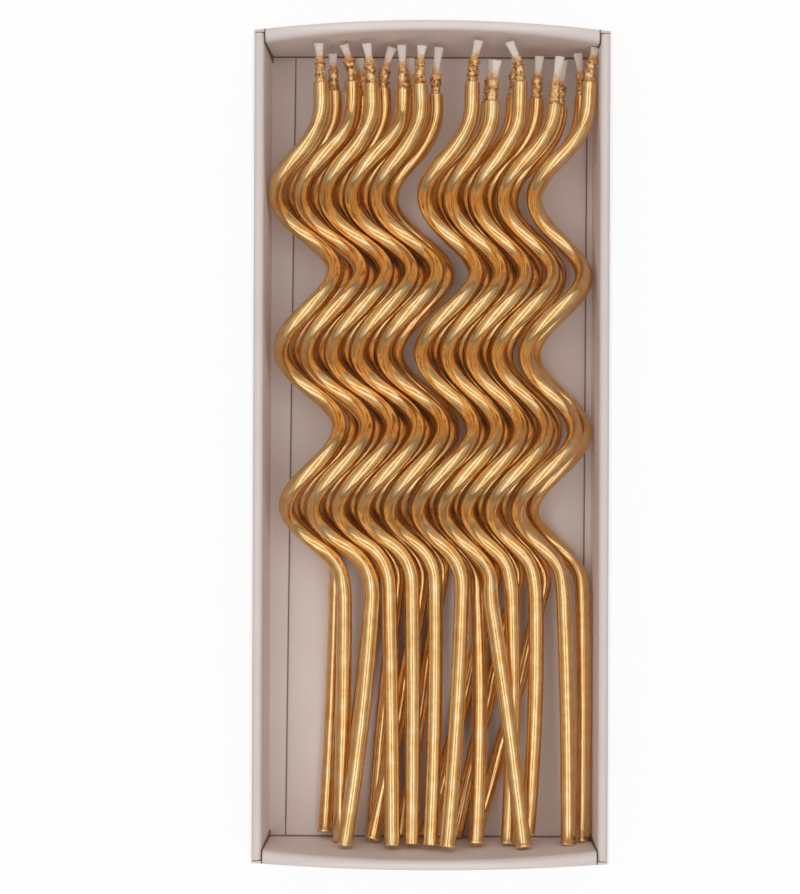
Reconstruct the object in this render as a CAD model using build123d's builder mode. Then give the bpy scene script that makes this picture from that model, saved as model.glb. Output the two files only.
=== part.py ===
from build123d import *
from math import atan2, cos, pi, radians, sin, sqrt, tan
import os

os.makedirs("parts", exist_ok=True)

# A boxed set of spiral birthday candles. Lengths are in millimetres, turns in degrees.
# The tray lies on its back with +Z up. The candles lie along Y with their wicks
# towards +Y, in two layers that nest in step, and a clear sleeve slides off along Y.

# The wax of one candle
wax_dia = 3.0
coil_radius = 5.3
coil_pitch = 30.1
stem_length = 50.0
top_length = 6.6
bend_run = 4.6
bend_turn = 25.0
stem_bend_turn = 45.0
top_bend_turn = 60.0
bend_ease = 0.9
straight_least = 0.5
full_turns = 1080.0
stem_turn = 140.0
top_turn = 50.0

# The wick of one candle
wick_dia = 1.0
wick_fit = 0.02
wick_length = 7.6
crust_dia = 1.6
crust_length = 4.6
tip_width = 1.8
tip_thick = 0.8

# Room round the candles
nest_gap = 0.13
floor_gap = 0.35
wall_gap = 0.3
lid_gap = 0.51
foot_gap = 2.07
tip_gap = 0.33

# Card tray
card = 0.45
side_roll = 1.9
end_foot = 1.55
end_roll_corner = 2.8
end_roll_middle = 2.0
bulge_wick = 1.9
bulge_foot = 1.2
end_slot = 0.6
roll_setback = 0.8
panel_lift = 0.25
corner_gap = 0.1
flap_left_wick = 4.6
flap_left_foot = 3.2
flap_right_wick = 1.0
flap_right_foot = 1.5

# Clear sleeve
film = 0.2
sleeve_gap = 0.25
sleeve_corner = 0.6
sleeve_inset = 0.25

# One overrun for every cut
over = 1.0

# Sizes that follow from the ones above
wax_r = wax_dia / 2
wick_r = wick_dia / 2
rise_per_radian = coil_pitch / (2 * pi)
slope = sqrt(coil_radius ** 2 + rise_per_radian ** 2) / rise_per_radian
nest_step = (wax_dia + nest_gap) * slope
coil_turns = (full_turns + top_turn - stem_turn - 2 * bend_turn) / 360
tray_z = film + sleeve_gap
floor_z = tray_z + card
low_axis = floor_z + floor_gap + wax_r + coil_radius
inner_length = (foot_gap + stem_length + 2 * bend_run + coil_turns * coil_pitch
                + top_length + wick_length + tip_gap)
inner_end = inner_length / 2
mid_y = (bulge_foot - bulge_wick) / 2
coil_start = mid_y - inner_end + foot_gap + stem_length + bend_run
coil_zero = coil_start - (stem_turn + bend_turn) / 360 * coil_pitch
low_y_share = 0.994
high_y_share = 2.735
low_y = coil_zero + low_y_share * coil_pitch
high_y = coil_zero + high_y_share * coil_pitch

# Where each candle lies. The first four columns are its axis, in nest steps: across at
# the wick half and at the foot half, then height above the low axis at both. Next come
# the shares of coil radius, top length, stem length and wick length. The last columns
# are turns in degrees: where the coil leaves the stem and meets the straight top, the
# stem's lean and rise at the coil and at the foot, and the wick's lean and rise.
upper_shares = [
    (-5.27, -4.86, 1.09, 0.965, 1.00, 1.00, 0.985, 0.95, 105, 52, 0, -2, -4.5, -6, -4, 4),
    (-4.24, -3.75, 0.885, 0.965, 1.03, 0.77, 0.995, 0.95, 112, 78, -3, -9, 1.5, 2.5, -18, 20),
    (-3.195, -2.70, 0.965, 0.965, 1.04, 1.00, 1.04, 0.98, 140, 50, 1.5, 0.5, 2, 7, -9, 6),
    (-2.15, -1.65, 0.965, 0.965, 1.04, 0.53, 1.045, 1.10, 146, 78, 1, -0.5, 2, 6, -2, 9),
    (-1.10, -0.60, 0.965, 0.925, 1.02, 1.06, 1.055, 0.94, 150, 44, 1, -2.5, 3, 8, 5, 5),
    (0.79, 0.60, 1.00, 1.09, 0.96, 1.15, 1.02, 1.03, 132, 44, -1.5, -5, 2, 8, 12, 6),
    (1.84, 1.61, 0.965, 0.965, 0.925, 0.77, 0.96, 1.00, 92, 30, 9, 6.5, 1, 0, 9, 6),
    (2.89, 2.59, 0.965, 0.965, 0.925, 1.30, 1.00, 1.02, 120, 32, 2, -3, -2.5, 0, -22, 6),
    (4.03, 3.64, 0.965, 0.965, 0.94, 0.45, 0.97, 1.20, 122, 50, 1.5, -5, -1, -1, 8, 2),
    (5.29, 4.76, 1.00, 0.965, 0.96, 1.06, 0.98, 0.86, 110, 56, 2.5, 0, -0.5, -0.5, 14, 5),
]
lower_shares = [
    (-4.76, -4.31, 0, 0, 1.00, 0.91, 1.07, 0.92, 172, 50, -1, -3.5, 0, 0, -2, 8),
    (-3.725, -3.275, 0, 0, 1.00, 0.57, 1.03, 0.96, 145, 65, -5, -8, -2.5, 0, -8, 10),
    (-2.70, -2.23, 0, 0, 1.00, 1.00, 1.045, 1.03, 145, 50, -6.5, -4, -2.5, 0, 19, 12),
    (-1.67, -1.20, 0, 0, 1.00, 0.42, 1.06, 1.10, 145, 65, -8.5, -13, 1, 6, -5, 12),
    (-0.56, -0.15, 0, 0, 0.98, 0.83, 1.06, 1.17, 155, 50, -9.5, -7.5, -1, 1, 6, 12),
    (1.37, 1.07, 0, 0, 0.96, 0.65, 0.955, 1.05, 95, 50, 2, -3, 2, 5, 8, 8),
    (2.42, 2.08, 0, 0, 0.925, 0.83, 1.06, 1.00, 140, 50, -13, -16, -3, 0, 5, 10),
    (3.385, 3.085, 0, 0, 0.925, 0.75, 1.055, 1.05, 140, 50, -14, -13, -3, 0, 5, 8),
    (4.365, 4.07, 0, 0, 0.925, 0.45, 1.05, 1.20, 130, 50, -13, -17.5, -4, 0, 4, 8),
    (5.36, 5.32, -0.02, 0, 0.925, 0.83, 0.95, 1.05, 90, 50, 1.5, -1, -3, 0, -8, 6),
]

# The candle nearest a side wall and the one nearest the lid set the tray's inside
edge_axis_share = 5.27
high_axis_share = 1.09
edge_coil_share = 1.00
edge_coil = edge_coil_share * coil_radius + wax_r
inner_half = edge_axis_share * nest_step + edge_coil + wall_gap
outer_half = inner_half + side_roll
end_corner = inner_end + end_foot
top_z = low_axis + high_axis_share * nest_step + edge_coil + lid_gap


def way(lean, rise):
    """A unit direction that points to the foot end, leaning across and rising."""
    a = radians(lean)
    b = radians(rise)
    return Vector(sin(a) * cos(b), -cos(a) * cos(b), sin(b))


def on_coil(turn, radius):
    """The point and the direction of a coil's centre line at a turn, on its own axis."""
    a = radians(turn)
    point = Vector(radius * sin(a), coil_zero + turn / 360 * coil_pitch, radius * cos(a))
    return point, Vector(radius * cos(a), rise_per_radian, -radius * sin(a)).normalized()


def bend_length(radius, turn):
    """How far along the axis an even bend out of the coil takes up a part of a turn."""
    steepness = atan2(radius, rise_per_radian)
    return bend_ease * 2 * radius * sin(radians(turn / 2)) / tan(steepness / 2)


def two_arcs(p1, t1, p2, t2):
    """Two arcs that leave p1 along t1 and arrive at p2 along t2."""
    v = p2 - p1
    t = t1 + t2
    k = 2 * (1 - t1.dot(t2))
    d = (sqrt(v.dot(t) ** 2 + k * v.dot(v)) - v.dot(t)) / k
    q = (p1 + p2 + (t1 - t2) * d) / 2
    first = TangentArc(p1, q, tangent=t1, mode=Mode.PRIVATE)
    second = TangentArc(q, p2, tangent=first % 1, mode=Mode.PRIVATE)
    return [first, second]


def centre_line(row):
    """The edges of one candle's centre line, from its foot to the top of its wax."""
    across_up, across_low, high_up, high_low, coil_share, top_share, stem_share = row[:7]
    turn_a, turn_b, lean_a, lean_b, rise_a, rise_b = row[8:14]
    radius = coil_share * coil_radius
    low = Vector(across_low * nest_step, low_y, low_axis + high_low * nest_step)
    high = Vector(across_up * nest_step, high_y, low_axis + high_up * nest_step)
    axis = (high - low).normalized()
    side = axis.cross(Vector(0, 0, 1)).normalized()
    own = Plane(low - axis * low_y, x_dir=side, z_dir=side.cross(axis))

    def placed(point, direction):
        end = own.from_local_coords(point + direction)
        start = own.from_local_coords(point)
        return start, end - start

    # The curved stem. Its share counts to a tight bend, and the gentle one takes up the rest.
    first_turn = turn_a + stem_bend_turn
    p, t = on_coil(first_turn, radius)
    a = radians(turn_a)
    run = bend_length(radius, stem_bend_turn)
    taken = run - bend_run - (stem_bend_turn - bend_turn) / 360 * coil_pitch
    stem_top = own.from_local_coords(Vector(radius * sin(a), p.Y - run, radius * cos(a)))
    towards = way((lean_a + lean_b) / 2, (rise_a + rise_b) / 2)
    foot = stem_top + towards * (stem_length * stem_share - taken)
    leaving = way(lean_a, rise_a) * -1
    chord = (stem_top - foot).normalized()
    stem = TangentArc(foot, stem_top, tangent=chord * 2 * chord.dot(leaving) - leaving,
                      mode=Mode.PRIVATE)

    # The bend into the coil, then the coil in quarter turns
    coil_p, coil_t = placed(p, t)
    edges = [stem] + two_arcs(stem_top, leaving, coil_p, coil_t)
    last_turn = full_turns + turn_b - top_bend_turn
    count = round((last_turn - first_turn) / 90)
    for i in range(count):
        p2, t2 = on_coil(first_turn + (last_turn - first_turn) * (i + 1) / count, radius)
        next_p, next_t = placed(p2, t2)
        edges += two_arcs(coil_p, coil_t, next_p, next_t)
        coil_p, coil_t = next_p, next_t

    # The bend out of the coil and the straight top
    b = radians(turn_b)
    p2, t2 = on_coil(last_turn, radius)
    whole = (top_bend_turn - bend_turn) / 360 * coil_pitch + bend_run + top_length * top_share
    run = min(bend_length(radius, top_bend_turn), whole - straight_least)
    up = own.from_local_coords(Vector(radius * sin(b), p2.Y + run, radius * cos(b)))
    edges += two_arcs(coil_p, coil_t, up, axis)
    edges.append(Line(up, up + axis * (whole - run), mode=Mode.PRIVATE))
    return edges


def make_wax(edges):
    """The wax, a round rod wound to a coil, with the bore that its wick fills."""
    with BuildPart() as wax:
        with BuildLine():
            for edge in edges:
                add(edge)
        with BuildSketch(Plane(edges[0] @ 0, z_dir=edges[0] % 0)):
            Circle(wax_r)
            Circle(wick_r + wick_fit, mode=Mode.SUBTRACT)
        sweep()
    return wax.part


def make_wick(edges, row):
    """The wick: a cord through the wax, a coated lower part and a flattened tip."""
    start = edges[-1] @ 1
    ahead = edges[-1] % 1
    bend = way(row[14], row[15])
    aside = Vector(bend.X, -bend.Y, bend.Z)
    crust_top = start + (ahead + aside).normalized() * crust_length
    coated = TangentArc(start, crust_top, tangent=ahead, mode=Mode.PRIVATE)
    onward = coated % 1
    tip_length = wick_length * row[7] - crust_length
    with BuildPart() as wick:
        with BuildLine():
            for edge in edges:
                add(edge)
            add(coated)
        with BuildSketch(Plane(edges[0] @ 0, z_dir=edges[0] % 0)):
            Circle(wick_r)
        sweep()
        with BuildLine():
            add(coated)
        with BuildSketch(Plane(start, z_dir=ahead)):
            Circle(crust_dia / 2)
        sweep()
        flat = Plane(crust_top, x_dir=Vector(0, 0, 1).cross(onward), z_dir=onward)
        with BuildSketch(flat):
            Circle(wick_r)
        with BuildSketch(flat.offset(tip_length / 3)):
            Ellipse(tip_width / 2, tip_thick / 2)
        with BuildSketch(flat.offset(tip_length)):
            Ellipse(tip_width / 2, tip_thick / 2)
        loft(ruled=True)
    return wick.part


def folded_wall(foot, face, roll, back, bottom):
    """The section of a folded card wall: outer panel, roll and inner panel."""
    z = top_z - roll / 2
    with BuildSketch() as section:
        with BuildLine():
            Line((foot, tray_z), (face, z))
            ThreePointArc((face, z), (face - roll / 2, top_z), (face - roll, z))
            Polyline((face - roll, z), (back, bottom), (back + card, bottom), (face - roll + card, z))
            ThreePointArc((face - roll + card, z), (face - roll / 2, top_z - card), (face - card, z))
            Polyline((face - card, z), (foot - card, tray_z), (foot, tray_z))
        make_face()
    return section.sketch


def end_wall(end, bulge):
    """One end wall, straight at its foot and bowed out at its top, trimmed at its corners."""
    corner, middle = (0, end_roll_corner), (bulge, end_roll_middle)
    inside = inner_half - corner_gap
    cut_width = outer_half + over - inside
    cut_depth = end_roll_corner - end_slot + over
    cut_y = mid_y + end * (end_corner - end_slot - cut_depth / 2)
    with BuildPart() as wall:
        for x, (bow, roll) in ((-outer_half, corner), (0, middle), (outer_half, corner)):
            with BuildSketch(Plane((x, mid_y, 0), x_dir=(0, end, 0), z_dir=(end, 0, 0))):
                add(folded_wall(end_corner, end_corner + bow, roll, inner_end, floor_z + panel_lift))
        loft()
        with BuildSketch(Plane((0, cut_y, floor_z))):
            with Locations((inside + cut_width / 2, 0), (-inside - cut_width / 2, 0)):
                Rectangle(cut_width, cut_depth)
        extrude(amount=top_z - floor_z + over, mode=Mode.SUBTRACT)
    return wall.part


def side_wall(side, wick_width, foot_width):
    """One rolled side wall, which stops short of the end faces, and its mitred floor flap."""
    reach = end_corner - roll_setback
    root = side * (inner_half + card / 2)
    with BuildPart() as wall:
        with BuildSketch(Plane((0, mid_y + side * reach, 0), x_dir=(side, 0, 0), z_dir=(0, -side, 0))):
            add(folded_wall(outer_half, outer_half, side_roll, inner_half, floor_z))
        extrude(amount=2 * reach)
        with BuildSketch(Plane((0, mid_y, floor_z))):
            with BuildLine():
                Polyline((root, -inner_end),
                         (side * (inner_half - foot_width), foot_width - inner_end),
                         (side * (inner_half - wick_width), inner_end - wick_width),
                         (root, inner_end), (root, -inner_end))
            make_face()
        extrude(amount=card)
    return wall.part


# Card tray
walls = [end_wall(1, bulge_wick), end_wall(-1, bulge_foot),
         side_wall(-1, flap_left_wick, flap_left_foot), side_wall(1, flap_right_wick, flap_right_foot)]
with BuildPart() as tray:
    with BuildSketch(Plane((0, mid_y, tray_z))):
        Rectangle(2 * outer_half, 2 * end_corner)
    extrude(amount=card)
    add(walls)
tray.part.label = "tray"
export_step(tray.part, "parts/tray.step")

# Clear sleeve, open at both ends
sleeve_half = outer_half + sleeve_gap + film
sleeve_high = top_z + sleeve_gap + film
sleeve_reach = end_corner - sleeve_inset
with BuildPart() as sleeve:
    with BuildSketch(Plane((0, mid_y + sleeve_reach, sleeve_high / 2), x_dir=(1, 0, 0), z_dir=(0, -1, 0))):
        RectangleRounded(2 * sleeve_half, sleeve_high, sleeve_corner)
        RectangleRounded(2 * (sleeve_half - film), sleeve_high - 2 * film, sleeve_corner - film,
                         mode=Mode.SUBTRACT)
    extrude(amount=2 * sleeve_reach)
sleeve.part.label = "sleeve"
export_step(sleeve.part, "parts/sleeve.step")

# Candles: 01 to 10 are the upper layer from left to right, 11 to 20 the lower layer
centre_lines = []
for number, row in enumerate(upper_shares + lower_shares, start=1):
    edges = centre_line(row)
    centre_lines.append(edges)
    wax = make_wax(edges)
    wax.label = f"candle_{number:02d}_wax"
    export_step(wax, f"parts/{wax.label}.step")
    wick = make_wick(edges, row)
    wick.label = f"candle_{number:02d}_wick"
    export_step(wick, f"parts/{wick.label}.step")
    length = sum(edge.length for edge in edges)
    ratio = wax.volume / (pi * (wax_r ** 2 - (wick_r + wick_fit) ** 2) * length)
    print(wax.label, "length", round(length, 1), "volume over section times length", round(ratio, 4))


def sampled(edges):
    """Points along a centre line, and how far along it each one lies."""
    points, along, done = [], [], 0.0
    for edge in edges:
        count = max(2, round(edge.length / wax_r))
        for i in range(count):
            spot = edge @ (i / count)
            points.append((spot.X, spot.Y, spot.Z))
            along.append(done + edge.length * i / count)
        done += edge.length
    return points, along


# The least gap of each candle's wax to itself, past half a turn, and to its neighbours
paths = [sampled(edges) for edges in centre_lines]
half_turn = pi * coil_radius
for i, (points, along) in enumerate(paths):
    own = min(
        sqrt(sum((a - b) ** 2 for a, b in zip(points[m], points[n])))
        for m in range(len(points)) for n in range(m) if along[m] - along[n] > half_turn
    )
    near = min(
        (sqrt(sum((a - b) ** 2 for a, b in zip(p, q))), j + 1)
        for j, (others, rest) in enumerate(paths) if j != i for p in points[::2] for q in others
    )
    print("candle", i + 1, "gap to itself", round(own - wax_dia, 2),
          "least gap", round(near[0] - wax_dia, 2), "to candle", near[1])
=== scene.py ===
# %% [markdown]
# # A tray of spiral birthday candles
# Twenty gold wax candles lie in two layers in a pale card tray, under a clear sleeve. The
# lengths below are in metres, and the frame that is loaded first already holds every
# piece at its real size and place. This lesson dresses it: the card and the clear film
# keep their shapes and get finishes, and each candle and wick is remodelled more finely.

# %% Load the frame
import bpy
import random
from math import atan2, cos, pi, radians, sin, sqrt, tan
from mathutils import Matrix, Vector, noise


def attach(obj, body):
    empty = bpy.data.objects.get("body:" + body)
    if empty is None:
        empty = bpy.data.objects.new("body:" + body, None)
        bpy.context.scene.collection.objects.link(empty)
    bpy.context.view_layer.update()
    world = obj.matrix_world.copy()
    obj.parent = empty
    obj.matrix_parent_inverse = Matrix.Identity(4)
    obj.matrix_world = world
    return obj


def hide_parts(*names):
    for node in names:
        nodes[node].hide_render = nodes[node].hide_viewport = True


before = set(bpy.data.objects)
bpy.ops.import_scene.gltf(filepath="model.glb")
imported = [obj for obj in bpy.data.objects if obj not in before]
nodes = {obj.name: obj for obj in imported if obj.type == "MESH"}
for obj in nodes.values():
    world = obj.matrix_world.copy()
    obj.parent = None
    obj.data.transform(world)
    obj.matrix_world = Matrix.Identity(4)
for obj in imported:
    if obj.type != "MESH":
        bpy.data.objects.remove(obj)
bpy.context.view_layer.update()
scene = bpy.context.scene
print("pieces in the frame:", len(nodes))

# %% [markdown]
# ## The camera
# The box was photographed from straight above, from about 39 cm, so the walls of the
# tray open out evenly all round. A camera could be aimed at the box from a corner of the
# picture, but then the far walls would lean. Here it looks straight down, turned by a
# fifth of a degree, and a small sideways shift puts the box where it stood in the frame.
# The focal length and the shift are in pixels of a picture 800 pixels wide.

# %% Camera
mm = 0.001
tray_middle = -0.35 * mm
camera_height = 392.45 * mm
camera_roll = radians(0.22)
picture_width = 800
focal_length = 1975
sideways = -31

bpy.ops.object.camera_add(location=(0, tray_middle, camera_height), rotation=(0, 0, camera_roll))
camera = bpy.context.object
camera.data.sensor_fit = "HORIZONTAL"
camera.data.sensor_width = 36
camera.data.lens = camera.data.sensor_width * focal_length / picture_width
camera.data.shift_x = sideways / picture_width
camera.data.clip_start = 10 * mm
scene.camera = camera
print("lens", round(camera.data.lens, 1), "mm")

# %% [markdown]
# ## Finishes from nodes
# Every finish below is a Principled shader fed by a few procedural nodes. A small helper
# starts a material and hands back its shader, and another adds and links one node, so
# that each finish reads as a short list.

# %% Node helpers
def new_finish(name):
    """A material with a Principled shader, and that shader."""
    finish = bpy.data.materials.new(name)
    finish.use_nodes = True
    return finish, finish.node_tree.nodes["Principled BSDF"]


def node(finish, kind, **links):
    """A new node with its inputs set, or linked where a socket is given."""
    made = finish.node_tree.nodes.new("ShaderNode" + kind)
    for name, value in links.items():
        wire(finish, value, made, name.replace("_", " "))
    return made


def wire(finish, value, made, name):
    """Links a socket, or sets a plain value."""
    target = made.inputs[int(name) if name.isdigit() else name]
    if isinstance(value, bpy.types.NodeSocket):
        finish.node_tree.links.new(value, target)
    else:
        target.default_value = value


def sums(finish, operation, first, second=0.0):
    """The result of one Math node."""
    made = node(finish, "Math", **{"0": first, "1": second})
    made.operation = operation
    return made.outputs[0]


def apart(finish, value, line):
    """How far a value lies from a line, on either side."""
    return sums(finish, "ABSOLUTE", sums(finish, "SUBTRACT", value, line))


def fade(finish, value, low, high):
    """1 below the low value, 0 above the high one."""
    return node(finish, "MapRange", Value=value, From_Min=low, From_Max=high,
                To_Min=1.0, To_Max=0.0).outputs["Result"]


def ramp(finish, factor, *stops):
    """A colour ramp with its stops as (place, colour)."""
    made = node(finish, "ValToRGB", Fac=factor)
    elements = made.color_ramp.elements
    while len(elements) < len(stops):
        elements.new(0.5)
    for element, (place, colour) in zip(elements, stops):
        element.position = place
        element.color = (*colour, 1)
    return made.outputs["Color"]


def dress(thing, finish):
    """Puts one finish on a piece."""
    thing.data.materials.clear()
    thing.data.materials.append(finish)


# %% [markdown]
# ## Card
# The tray is folded from thin uncoated board, pale with a breath of pink. A flat colour
# would look like plastic, so a fine fibre grain lifts the surface a little, and a broad
# cloudiness moves the tone by a few percent. Where two edges of card meet there is a
# narrow gap that lies in shade. The light alone would leave it too pale, so painted shade
# follows each gap, found from how far a point of the card lies from a few straight lines.

# %% Card finish
card, shader = new_finish("pale_card")
place = node(card, "TexCoord").outputs["Object"]
cloud = node(card, "TexNoise", Vector=place, Scale=60.0, Detail=3.0)
fibre = node(card, "TexNoise", Vector=place, Scale=2600.0, Detail=4.0)
tone = ramp(card, cloud.outputs["Fac"],
            (0.3, (0.87, 0.77, 0.735)),
            (0.7, (0.92, 0.82, 0.79)))
bump = node(card, "Bump", Height=fibre.outputs["Fac"], Strength=0.25, Distance=0.04 * mm)
wire(card, bump.outputs["Normal"], shader, "Normal")
shader.inputs["Roughness"].default_value = 0.62
shader.inputs["Specular IOR Level"].default_value = 0.35
print("card finish:", card.name)

# %% Painted shade in the card's gaps
# The lines that the painted gap shade follows, measured from the middle of the box.
left_flap, left_slant = -27.79 * mm, 0.0096
right_flap, right_slant = 30.44 * mm, 0.0033
wick_wall, foot_wall = 76.78 * mm, -77.48 * mm
corner_across, corner_along = 31.63 * mm, 75.9 * mm
floor_below = 1.5 * mm
gap_shade_depth = 0.8
where = node(card, "SeparateXYZ", Vector=place).outputs


def from_flap(edge, slant):
    """How far a point lies from a floor flap's slanted edge."""
    slid = sums(card, "MULTIPLY", where["Y"], slant)
    return apart(card, sums(card, "SUBTRACT", where["X"], slid), edge)


# Painted shade along the floor: beside each side flap, and at the foot of each end wall.
flaps = sums(card, "MINIMUM", from_flap(left_flap, left_slant), from_flap(right_flap, right_slant))
walls = sums(card, "MINIMUM",
             apart(card, where["Y"], wick_wall), apart(card, where["Y"], foot_wall))
nearest = sums(card, "MINIMUM", flaps, walls)
on_floor = sums(card, "LESS_THAN", where["Z"], floor_below)
gap_shade = sums(card, "MULTIPLY", fade(card, nearest, 0.07 * mm, 0.2 * mm), on_floor)

# Painted shade in the slits at the corners, where an end wall stops against a side wall.
slit = apart(card, sums(card, "ABSOLUTE", where["X"]), corner_across)
at_end = sums(card, "GREATER_THAN", apart(card, where["Y"], tray_middle), corner_along)
slit_shade = sums(card, "MULTIPLY", fade(card, slit, 0.1 * mm, 0.23 * mm), at_end)
gap_shade = sums(card, "MULTIPLY", sums(card, "MAXIMUM", gap_shade, slit_shade), gap_shade_depth)
# The painted shade of the gaps and corner slits darkens the card's colour towards a deep brown.
tone = node(card, "MixRGB", Fac=gap_shade, Color1=tone, Color2=(0.16, 0.09, 0.06, 1)).outputs["Color"]
wire(card, tone, shader, "Base Color")
dress(nodes["tray"], card)
print("painted gap shade:", gap_shade_depth)

# %% [markdown]
# ## Clear film
# The sleeve is thin clear film, so bending light would be wrong for it: what shows is a
# faint sheen. A Principled shader with a low, plain alpha does that, and goes out with the
# model unchanged. Very faint waviness keeps its glints from looking like window glass.

# %% Film finish
film, shader = new_finish("clear_film")
place = node(film, "TexCoord").outputs["Object"]
wave = node(film, "TexNoise", Vector=place, Scale=35.0, Detail=1.0)
bump = node(film, "Bump", Height=wave.outputs["Fac"], Strength=0.15, Distance=0.4 * mm)
wire(film, bump.outputs["Normal"], shader, "Normal")
shader.inputs["Base Color"].default_value = (0.02, 0.02, 0.02, 1)
shader.inputs["Alpha"].default_value = 0.03
shader.inputs["Roughness"].default_value = 0.08
dress(nodes["sleeve"], film)
print("sleeve finish:", film.name)

# %% [markdown]
# ## Gold wax
# The wax rods carry a gold lacquer that was drawn on along their length, so it shows
# fine streaks that follow the rod round its coil. The streaks need a pattern that runs
# with the rod, which the rod's own UV map gives: U runs along it and V round it. V is
# turned into a circle first, so that the pattern has no seam. U counts the rod's points
# from 0 at the foot to 1 at the top, so its first hundredth is the cut foot, which is
# paler. A thin clear coat adds the pale edge of the highlights over the deeper gold.

# %% Gold wax finish
wax_gold, shader = new_finish("gold_wax")
uv = node(wax_gold, "SeparateXYZ", Vector=node(wax_gold, "UVMap").outputs["UV"]).outputs
turn = sums(wax_gold, "MULTIPLY", uv["Y"], 2 * pi)
drawn = node(wax_gold, "CombineXYZ",
             X=sums(wax_gold, "COSINE", turn),
             Y=sums(wax_gold, "SINE", turn),
             Z=sums(wax_gold, "MULTIPLY", uv["X"], 5.0)).outputs["Vector"]
streak = node(wax_gold, "TexNoise", Vector=drawn, Scale=4.0, Detail=4.0, Roughness=0.6)
place = node(wax_gold, "TexCoord").outputs["Object"]
dapple = node(wax_gold, "TexNoise", Vector=place, Scale=420.0, Detail=3.0)
fleck = node(wax_gold, "TexNoise", Vector=place, Scale=2400.0, Detail=2.0)
mixed = sums(wax_gold, "ADD", streak.outputs["Fac"], dapple.outputs["Fac"])
tone = ramp(wax_gold, sums(wax_gold, "MULTIPLY", mixed, 0.5),
            (0.38, (0.84, 0.46, 0.15)),
            (0.5, (0.91, 0.59, 0.25)),
            (0.62, (0.96, 0.70, 0.37)))
cut = fade(wax_gold, uv["X"], 0.006, 0.018)
tone = node(wax_gold, "MixRGB", Fac=cut, Color1=tone, Color2=(1.0, 0.76, 0.42, 1)).outputs["Color"]
rough = node(wax_gold, "MapRange", Value=dapple.outputs["Fac"], From_Min=0.3, From_Max=0.7,
             To_Min=0.15, To_Max=0.23)
ridge = node(wax_gold, "Bump", Height=streak.outputs["Fac"], Strength=0.42, Distance=0.03 * mm)
grain = node(wax_gold, "Bump", Height=fleck.outputs["Fac"], Strength=0.3, Distance=0.03 * mm,
             Normal=ridge.outputs["Normal"])
wire(wax_gold, tone, shader, "Base Color")
wire(wax_gold, rough.outputs["Result"], shader, "Roughness")
wire(wax_gold, grain.outputs["Normal"], shader, "Normal")
shader.inputs["Metallic"].default_value = 0.95
shader.inputs["Coat Weight"].default_value = 0.25
shader.inputs["Coat Roughness"].default_value = 0.14
shader.inputs["Coat IOR"].default_value = 1.6
print("wax finish:", wax_gold.name)

# %% [markdown]
# ## Where the candles lie
# Each candle is one rod: a straight stem, almost three turns of coil, and a short
# straight top. The stem and the top both lie on the coil's own cylinder, which is why
# they run off its side and not out of its middle. The coils nest in step like springs in
# a drawer, so one row of numbers for each candle is enough: where its axis lies, in
# steps of the nest, and how its ends lean. The order runs from left to right, first the
# upper layer and then the lower one. Shares are parts of the sizes named above the rows,
# and every angle is in degrees.

# %% Sizes of a candle
wax_r = 1.5 * mm
nest_gap = 0.13 * mm
coil_radius = 5.3 * mm
pitch = 30.1 * mm
stem_length = 50 * mm
top_length = 6.6 * mm
bend_run = 4.6 * mm
bend_turn = 25
stem_bend_turn = 45
top_bend_turn = 60
bend_ease = 0.9
straight_least = 0.5 * mm
wick_length = 7.6 * mm
rise = pitch / (2 * pi)
step = (2 * wax_r + nest_gap) * sqrt(coil_radius ** 2 + rise ** 2) / rise
low_axis = 8.05 * mm
coil_zero = -34.67 * mm
low_y = coil_zero + 0.994 * pitch
high_y = coil_zero + 2.735 * pitch

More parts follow.
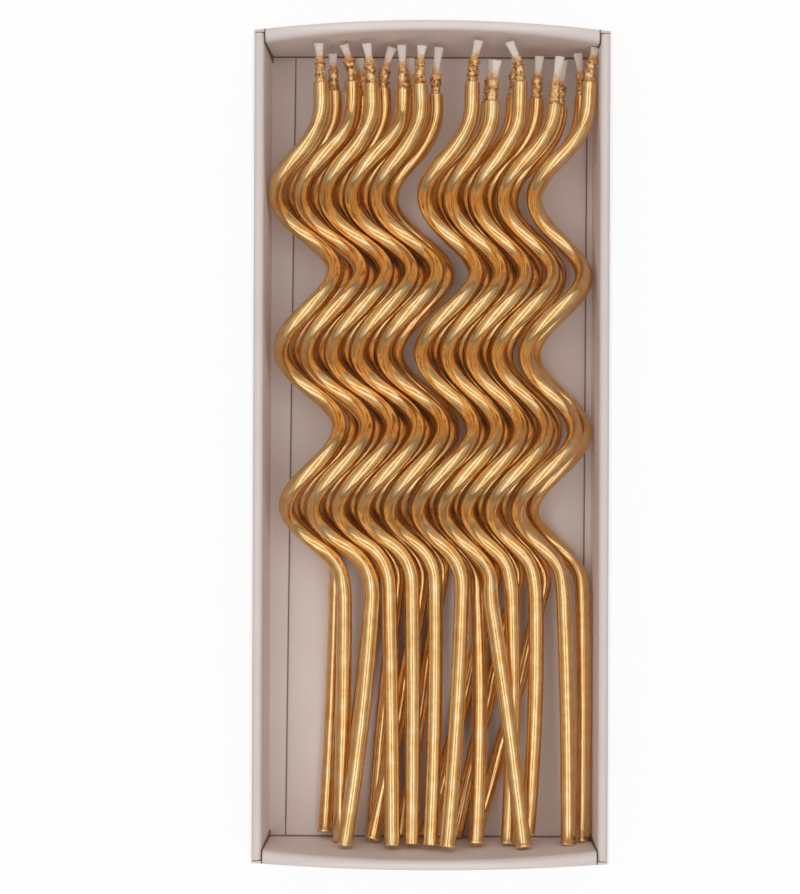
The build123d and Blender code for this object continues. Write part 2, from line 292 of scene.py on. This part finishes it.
rows = [
    # axis across at wick and foot, height at both, coil, top, stem and wick shares,
    # turns at stem and top, stem lean and rise at coil and foot, wick lean and rise
    (-5.27, -4.86, 1.09, 0.965, 1.00, 1.00, 0.985, 0.95, 105, 52, 0, -2, -4.5, -6, -4, 4),
    (-4.24, -3.75, 0.885, 0.965, 1.03, 0.77, 0.995, 0.95, 112, 78, -3, -9, 1.5, 2.5, -18, 20),
    (-3.195, -2.70, 0.965, 0.965, 1.04, 1.00, 1.04, 0.98, 140, 50, 1.5, 0.5, 2, 7, -9, 6),
    (-2.15, -1.65, 0.965, 0.965, 1.04, 0.53, 1.045, 1.10, 146, 78, 1, -0.5, 2, 6, -2, 9),
    (-1.10, -0.60, 0.965, 0.925, 1.02, 1.06, 1.055, 0.94, 150, 44, 1, -2.5, 3, 8, 5, 5),
    (0.79, 0.60, 1.00, 1.09, 0.96, 1.15, 1.02, 1.03, 132, 44, -1.5, -5, 2, 8, 12, 6),
    (1.84, 1.61, 0.965, 0.965, 0.925, 0.77, 0.96, 1.00, 92, 30, 9, 6.5, 1, 0, 9, 6),
    (2.89, 2.59, 0.965, 0.965, 0.925, 1.30, 1.00, 1.02, 120, 32, 2, -3, -2.5, 0, -22, 6),
    (4.03, 3.64, 0.965, 0.965, 0.94, 0.45, 0.97, 1.20, 122, 50, 1.5, -5, -1, -1, 8, 2),
    (5.29, 4.76, 1.00, 0.965, 0.96, 1.06, 0.98, 0.86, 110, 56, 2.5, 0, -0.5, -0.5, 14, 5),
    (-4.76, -4.31, 0, 0, 1.00, 0.91, 1.07, 0.92, 172, 50, -1, -3.5, 0, 0, -2, 8),
    (-3.725, -3.275, 0, 0, 1.00, 0.57, 1.03, 0.96, 145, 65, -5, -8, -2.5, 0, -8, 10),
    (-2.70, -2.23, 0, 0, 1.00, 1.00, 1.045, 1.03, 145, 50, -6.5, -4, -2.5, 0, 19, 12),
    (-1.67, -1.20, 0, 0, 1.00, 0.42, 1.06, 1.10, 145, 65, -8.5, -13, 1, 6, -5, 12),
    (-0.56, -0.15, 0, 0, 0.98, 0.83, 1.06, 1.17, 155, 50, -9.5, -7.5, -1, 1, 6, 12),
    (1.37, 1.07, 0, 0, 0.96, 0.65, 0.955, 1.05, 95, 50, 2, -3, 2, 5, 8, 8),
    (2.42, 2.08, 0, 0, 0.925, 0.83, 1.06, 1.00, 140, 50, -13, -16, -3, 0, 5, 10),
    (3.385, 3.085, 0, 0, 0.925, 0.75, 1.055, 1.05, 140, 50, -14, -13, -3, 0, 5, 8),
    (4.365, 4.07, 0, 0, 0.925, 0.45, 1.05, 1.20, 130, 50, -13, -17.5, -4, 0, 4, 8),
    (5.36, 5.32, -0.02, 0, 0.925, 0.83, 0.95, 1.05, 90, 50, 1.5, -1, -3, 0, -8, 6),
]
print("candles:", len(rows), "nest step", round(step / mm, 2), "mm")


# %% [markdown]
# ## One rod's centre line
# A rod like this could be drawn by hand as a bezier curve, or spun with the Screw
# modifier, but neither knows how the stem runs into the coil. A helix is easy to write
# down, so the centre line comes from its formula, and each straight end joins it along
# two short arcs, the way a bent wire does.

# %% Arcs and helix
def arc_points(p, t, q, count):
    """Points along the arc that leaves p along t and ends at q, and its last direction."""
    v = q - p
    off = v - t * v.dot(t)
    if off.length < 1e-6 * v.length:
        return [p + v * k / count for k in range(1, count + 1)], t
    side = off.normalized()
    radius = v.length_squared / (2 * off.length)
    turn = 2 * Vector((v.dot(t), off.length)).angle_signed(Vector((1, 0)))
    points = [p + t * radius * sin(turn * k / count) + side * radius * (1 - cos(turn * k / count))
              for k in range(1, count + 1)]
    return points, t * cos(turn) + side * sin(turn)


def joined(p1, t1, p2, t2, count):
    """Points along the two arcs that leave p1 along t1 and arrive at p2 along t2."""
    v, t = p2 - p1, t1 + t2
    k = 2 * (1 - t1.dot(t2))
    d = (sqrt(v.dot(t) ** 2 + k * v.dot(v)) - v.dot(t)) / k
    q = (p1 + p2 + (t1 - t2) * d) / 2
    first, way = arc_points(p1, t1, q, count)
    return first + arc_points(q, way, p2, count)[0]


def leaning(lean, lift):
    """A direction towards the foot end, leaning across and rising."""
    a, b = radians(lean), radians(lift)
    return Vector((sin(a) * cos(b), -cos(a) * cos(b), sin(b)))


degrees_apart = 6


def rod_line(row):
    """One rod's centre line from foot to top, and the direction of its top."""
    across_up, across_low, high_up, high_low, coil, top, stem = row[:7]
    turn_a, turn_b, lean_a, lean_b, rise_a, rise_b = row[8:14]
    radius = coil * coil_radius
    low = Vector((across_low * step, low_y, low_axis + high_low * step))
    high = Vector((across_up * step, high_y, low_axis + high_up * step))
    axis = (high - low).normalized()
    side = axis.cross(Vector((0, 0, 1))).normalized()
    up = side.cross(axis)

    def spot(turn, y):
        a = radians(turn)
        return low + side * radius * sin(a) + axis * (y - low_y) + up * radius * cos(a)

    def height(turn):
        return coil_zero + turn / 360 * pitch

    def heading(turn):
        a = radians(turn)
        return (side * radius * cos(a) + axis * rise - up * radius * sin(a)).normalized()

    def bend_length(turn):
        return bend_ease * 2 * radius * sin(radians(turn / 2)) / tan(atan2(radius, rise) / 2)

    # The stem and the top are measured to a tight bend, and gentle bends take up the rest.
    first, last = turn_a + stem_bend_turn, 1080 + turn_b - top_bend_turn
    run = bend_length(stem_bend_turn)
    taken = run - bend_run - (stem_bend_turn - bend_turn) / 360 * pitch
    stem_top = spot(turn_a, height(first) - run)
    towards = leaning((lean_a + lean_b) / 2, (rise_a + rise_b) / 2)
    foot = stem_top + towards * (stem_length * stem - taken)
    leaving = -leaning(lean_a, rise_a)
    chord = (stem_top - foot).normalized()
    # The stem is one very flat arc. At the foot it heads off on the chord's other side.
    at_foot = chord * 2 * chord.dot(leaving) - leaving
    points = [foot] + arc_points(foot, at_foot, stem_top, 40)[0]
    points += joined(stem_top, leaving, spot(first, height(first)), heading(first), 7)
    count = round((last - first) / degrees_apart)
    turns = [first + (last - first) * k / count for k in range(1, count + 1)]
    points += [spot(t, height(t)) for t in turns]
    whole = (top_bend_turn - bend_turn) / 360 * pitch + bend_run + top_length * top
    run = min(bend_length(top_bend_turn), whole - straight_least)
    top_base = spot(turn_b, height(last) + run)
    points += joined(points[-1], heading(last), top_base, axis, 8)
    points += [top_base + axis * (whole - run) * k / 4 for k in range(1, 5)]
    return points, axis


lines = [rod_line(row) for row in rows]
print("points on the first rod:", len(lines[0][0]))

# %% [markdown]
# ## Rods from a bevelled curve
# A curve with a round bevel gives a clean tube in one go, with a UV map along it for
# the streaks. The radius of each point is set a little uneven, as dipped wax is, and the
# last few points draw in to a soft shoulder. A Displace modifier with a large soft noise
# then dents the tube by a few hundredths of a millimetre, and a second, finer one crumbles
# the cut foot.

# %% Tube helper
def only(thing):
    """Selects one object and makes it active."""
    bpy.ops.object.select_all(action="DESELECT")
    thing.select_set(True)
    bpy.context.view_layer.objects.active = thing


def tube(name, points, radii, sides):
    """A closed tube along points, as a mesh with a UV map."""
    bpy.ops.object.select_all(action="DESELECT")
    bpy.ops.curve.primitive_nurbs_path_add()
    drawn = bpy.context.object
    drawn.name = name
    curve = drawn.data
    curve.splines.clear()
    spline = curve.splines.new("POLY")
    spline.points.add(len(points) - 1)
    for spot, p, r in zip(spline.points, points, radii):
        spot.co = (*p, 1)
        spot.radius = r
    curve.dimensions = "3D"
    curve.bevel_depth = 1
    curve.bevel_resolution = sides // 2 - 2
    curve.use_fill_caps = True
    only(drawn)
    bpy.ops.object.convert(target="MESH")
    made = bpy.context.object
    made.data.name = name
    bpy.ops.object.shade_smooth_by_angle(angle=radians(50))
    return made


def dent(thing, size, strength, group=None):
    """Uneven skin: soft noise of one size, pushed along the normals and applied."""
    skin = bpy.data.textures.new(thing.name + "_skin", "CLOUDS")
    skin.noise_scale = size
    skin.noise_depth = 2
    only(thing)
    bpy.ops.object.modifier_add(type="DISPLACE")
    push = thing.modifiers[-1]
    push.texture = skin
    push.strength = strength
    push.mid_level = 0.5
    push.texture_coords = "LOCAL"
    if group:
        push.vertex_group = group
    bpy.ops.object.modifier_apply(modifier=push.name)


# %% Wax rods
# The top draws in over its last half millimetre, the foot only a little. Each pair is a
# depth from the end, in millimetres, and a share of the rod's radius.
shoulder = ((0.42, 0.99), (0.24, 0.94), (0.12, 0.86), (0.04, 0.74), (0, 0.55))
cut_foot = ((0, 0.86), (0.08, 0.97), (0.2, 1.03), (0.35, 1.02), (0.5, 1.0), (0.7, 1.0), (0.9, 1.0))
uneven = 0.018
crumbled = 0.9 * mm

for number, (points, axis) in enumerate(lines, start=1):
    name = f"candle_{number:02d}_wax"
    radii = [wax_r * (1 + uneven * noise.noise(Vector((number * 7.3, i * 0.11, 0))))
             for i in range(len(points))]
    start, end = points[0], points[-1]
    back = (start - points[1]).normalized()
    points = ([start - back * deep * mm for deep, share in cut_foot] + points[1:-1]
              + [end - axis * deep * mm for deep, share in shoulder])
    radii = ([wax_r * share for deep, share in cut_foot] + radii[1:-1]
             + [wax_r * share for deep, share in shoulder])
    rod = tube(name + "_rod", points, radii, 24)
    dent(rod, 3.5 * mm, 0.07 * mm)
    cut = rod.vertex_groups.new(name="cut_end")
    for v in rod.data.vertices:
        depth = (start - v.co).dot(back)
        if depth < crumbled:
            cut.add([v.index], 1 - max(0.0, depth) / crumbled, "REPLACE")
    dent(rod, 0.7 * mm, 0.7 * mm, "cut_end")
    dress(rod, wax_gold)
    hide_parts(name)
    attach(rod, "tray")
print("last rod:", len(rod.data.polygons), "faces")

# %% [markdown]
# ## Wicks
# Each wick leaves the wax in a crumbly coat of the gold lacquer, fades through orange
# where the wax soaked in, and ends in a pale, flattened brush of waxed cotton. One tube
# is enough for all of it: it is drawn along a gently bent line, its coat is roughened by
# a strong fine Displace, and its tip is scaled flat and wide in edit mode.

# %% Wick finish
wick_wax, shader = new_finish("waxed_wick")
uv = node(wick_wax, "UVMap").outputs["UV"]
along = node(wick_wax, "SeparateXYZ", Vector=uv).outputs["X"]
place = node(wick_wax, "TexCoord").outputs["Object"]
crumbs = node(wick_wax, "TexNoise", Vector=place, Scale=1500.0, Detail=4.0, Roughness=0.7)
stretched = node(wick_wax, "Mapping", Vector=uv, Scale=(5.0, 30.0, 1.0)).outputs["Vector"]
threads = node(wick_wax, "TexNoise", Vector=stretched, Detail=3.0)
ragged = node(wick_wax, "MapRange", Value=crumbs.outputs["Fac"], From_Min=0.3, From_Max=0.7,
              To_Min=-0.09, To_Max=0.09)
soak = node(wick_wax, "TexNoise", Vector=place, Scale=130.0)
soaked = sums(wick_wax, "MULTIPLY", sums(wick_wax, "SUBTRACT", soak.outputs["Fac"], 0.5), 0.4)
# How far up the wick a point counts as: a ragged edge, and patches that soaked further.
edge = sums(wick_wax, "ADD", sums(wick_wax, "ADD", along, ragged.outputs["Result"]), soaked)
flake = ramp(wick_wax, crumbs.outputs["Fac"],
             (0.38, (0.30, 0.12, 0.03)),
             (0.47, (0.94, 0.52, 0.18)),
             (0.58, (1.0, 0.74, 0.44)))
paler = ramp(wick_wax, edge,
             (0.58, (0.80, 0.36, 0.10)),
             (0.70, (0.86, 0.55, 0.30)),
             (0.80, (0.89, 0.80, 0.73)))
bare = ramp(wick_wax, edge, (0.53, (0, 0, 0)), (0.62, (1, 1, 1)))
colour = node(wick_wax, "MixRGB", Fac=bare, Color1=flake, Color2=paler).outputs["Color"]
metal = ramp(wick_wax, edge, (0.53, (0.9, 0.9, 0.9)), (0.62, (0.0, 0.0, 0.0)))
lumps = node(wick_wax, "Bump", Height=crumbs.outputs["Fac"], Strength=0.8, Distance=0.1 * mm)
strands = node(wick_wax, "Bump", Height=threads.outputs["Fac"], Strength=0.4, Distance=0.08 * mm,
               Normal=lumps.outputs["Normal"])
wire(wick_wax, colour, shader, "Base Color")
wire(wick_wax, metal, shader, "Metallic")
wire(wick_wax, strands.outputs["Normal"], shader, "Normal")
shader.inputs["Roughness"].default_value = 0.36
shader.inputs["Subsurface Weight"].default_value = 0.3
shader.inputs["Subsurface Radius"].default_value = (0.0012, 0.0008, 0.0005)
shader.inputs["Subsurface Scale"].default_value = 1.0
print("wick finish:", wick_wax.name)

# %% Wicks
# Half-widths in millimetres: hidden root, the rough coat's end, and the bare tip.
root_girth = [0.5, 0.95]
coat_end_girth = [0.85, 0.72, 0.64]
tip_girth = [0.60, 0.60, 0.62, 0.65, 0.69, 0.74, 0.80, 0.78]
coat_length = 4.6 * mm
root_depth = 1.2 * mm
coat_fade = 0.8 * mm

for number, ((points, axis), row) in enumerate(zip(lines, rows), start=1):
    name = f"candle_{number:02d}_wick"
    spread = random.Random(100 + number)
    mouth = points[-1]
    bend = leaning(row[14], row[15])
    aside = Vector((bend.x, -bend.y, bend.z))
    coat_way = (axis + aside).normalized()
    coat_top = mouth + coat_way * coat_length
    route, way = arc_points(mouth, axis, coat_top, 16)
    tip = wick_length * row[7] - coat_length
    route = ([mouth - axis * root_depth, mouth] + route
             + [coat_top + way * tip * k / 8 for k in range(1, 9)])
    rough_girth = [spread.uniform(0.82, 1.12) for k in range(13)]
    girth = root_girth + rough_girth + coat_end_girth + tip_girth
    wick = tube(name + "_cord", route, [g * mm for g in girth], 20)
    coat = wick.vertex_groups.new(name="coat")
    for v in wick.data.vertices:
        left = coat_length * 1.1 - (v.co - mouth).dot(coat_way)
        coat.add([v.index], max(0.0, min(1.0, left / coat_fade)), "REPLACE")
    dent(wick, 0.6 * mm, 1.1 * mm, "coat")
    # The tip is pressed flat.
    only(wick)
    for v in wick.data.vertices:
        v.select = (v.co - coat_top).dot(way) > 0.1 * tip
    bpy.ops.object.mode_set(mode="EDIT")
    bpy.ops.transform.resize(value=(1.15, 1.0, 0.5), center_override=coat_top + way * tip * 0.6)
    bpy.ops.object.mode_set(mode="OBJECT")
    dress(wick, wick_wax)
    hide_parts(name)
    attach(wick, "tray")
print("last wick:", len(wick.data.polygons), "faces")

# %% [markdown]
# ## Floor, light and backdrop
# The box lay on white paper between two large soft lamps, one on each side of the
# camera. Every rod shows them as a pair of pale lines with a thin dark line between, so
# two long area lamps are hung the same way, and a wider, weaker one outside each softens
# the rods' flanks. A slightly warm world fills the rest. The paper is kept white by the
# colour that the camera sees, not by more light, and it still takes a faint shadow.

# %% Floor
bpy.ops.object.select_all(action="DESELECT")
bpy.ops.mesh.primitive_plane_add(size=4, location=(0, 0, -0.05 * mm))
floor = bpy.context.object
floor.name = "floor"
paper, shader = new_finish("white_paper")
shader.inputs["Base Color"].default_value = (0.9, 0.9, 0.9, 1)
shader.inputs["Roughness"].default_value = 0.9
seen = node(paper, "LightPath").outputs
direct = sums(paper, "MAXIMUM", seen["Is Camera Ray"], seen["Is Glossy Ray"])
direct = sums(paper, "MAXIMUM", direct, seen["Is Transmission Ray"])
white = node(paper, "Emission", Color=(1, 1, 1, 1), Strength=1.0)
mixed = node(paper, "MixShader", Fac=sums(paper, "MULTIPLY", direct, 0.94))
paper.node_tree.links.new(shader.outputs[0], mixed.inputs[1])
paper.node_tree.links.new(white.outputs[0], mixed.inputs[2])
paper.node_tree.links.new(mixed.outputs[0], paper.node_tree.nodes["Material Output"].inputs[0])
floor.data.materials.append(paper)
print("floor:", paper.name)


# %% Lamps and world
lamp_height = 0.60
lamp_length = 2.4


def lamp(name, across, wide, watts):
    """A soft rectangular lamp that hangs level and shines straight down."""
    bpy.ops.object.light_add(type="AREA", location=(across, 0, lamp_height))
    hung = bpy.context.object
    hung.name = name
    hung.data.shape = "RECTANGLE"
    hung.data.size = wide
    hung.data.size_y = lamp_length
    hung.data.energy = watts


lamp("left_softbox", -0.19, 0.27, 2.7)
lamp("right_softbox", 0.19, 0.27, 2.5)
lamp("left_fill", -0.71, 0.77, 1.9)
lamp("right_fill", 0.71, 0.77, 1.7)
world = bpy.data.worlds.new("studio")
scene.world = world
world.use_nodes = True
sky = world.node_tree.nodes["Background"]
sky.inputs["Color"].default_value = (1.0, 0.94, 0.89, 1)
sky.inputs["Strength"].default_value = 0.25
scene.view_settings.view_transform = "Standard"
